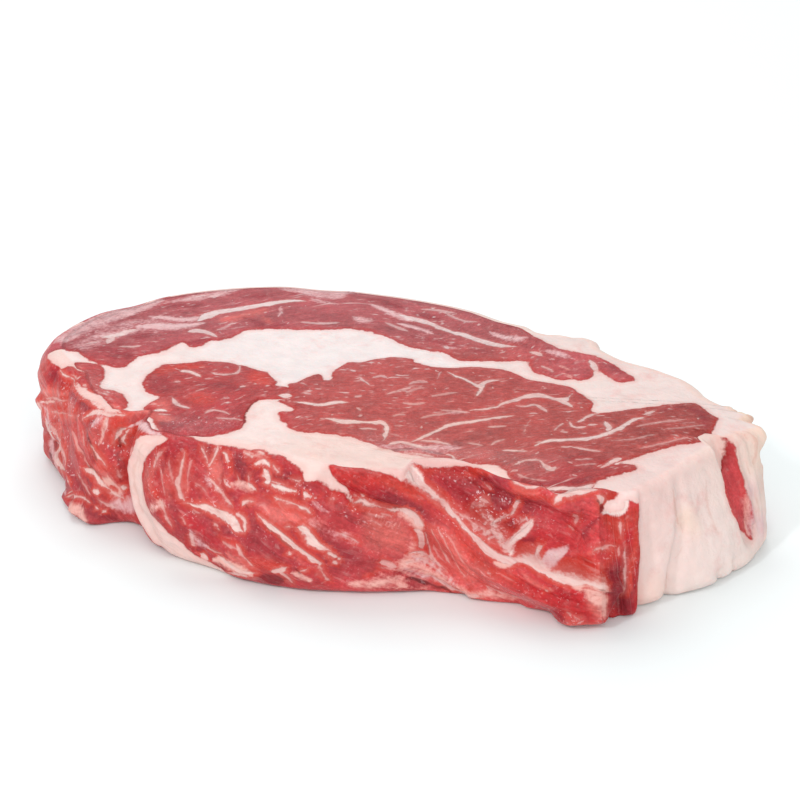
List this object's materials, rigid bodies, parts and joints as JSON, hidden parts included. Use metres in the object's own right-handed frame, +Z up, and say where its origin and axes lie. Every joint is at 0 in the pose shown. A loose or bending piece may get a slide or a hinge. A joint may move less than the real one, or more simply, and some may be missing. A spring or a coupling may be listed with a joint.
{
  "type": "raw ribeye steak",
  "caption": "Thick boneless raw beef steak: a red oval slab with white fat seams, fine marbling, a fat corner and a ragged front side where the ribs were.",
  "frame": {"origin": "on the flat underside, under the middle of the bounding box", "axes": "+X along the longest way, towards the fat corner; -Y towards the ragged front side where the ribs were; +Z up out of the cut top"},
  "size_m": [0.2184, 0.1588, 0.0367],
  "materials": {
    "raw_beef": "moist cut meat, red lean with cream fat"
  },
  "bodies": {
    "root": {"steak": "raw_beef"}
  },
  "joints": []
}
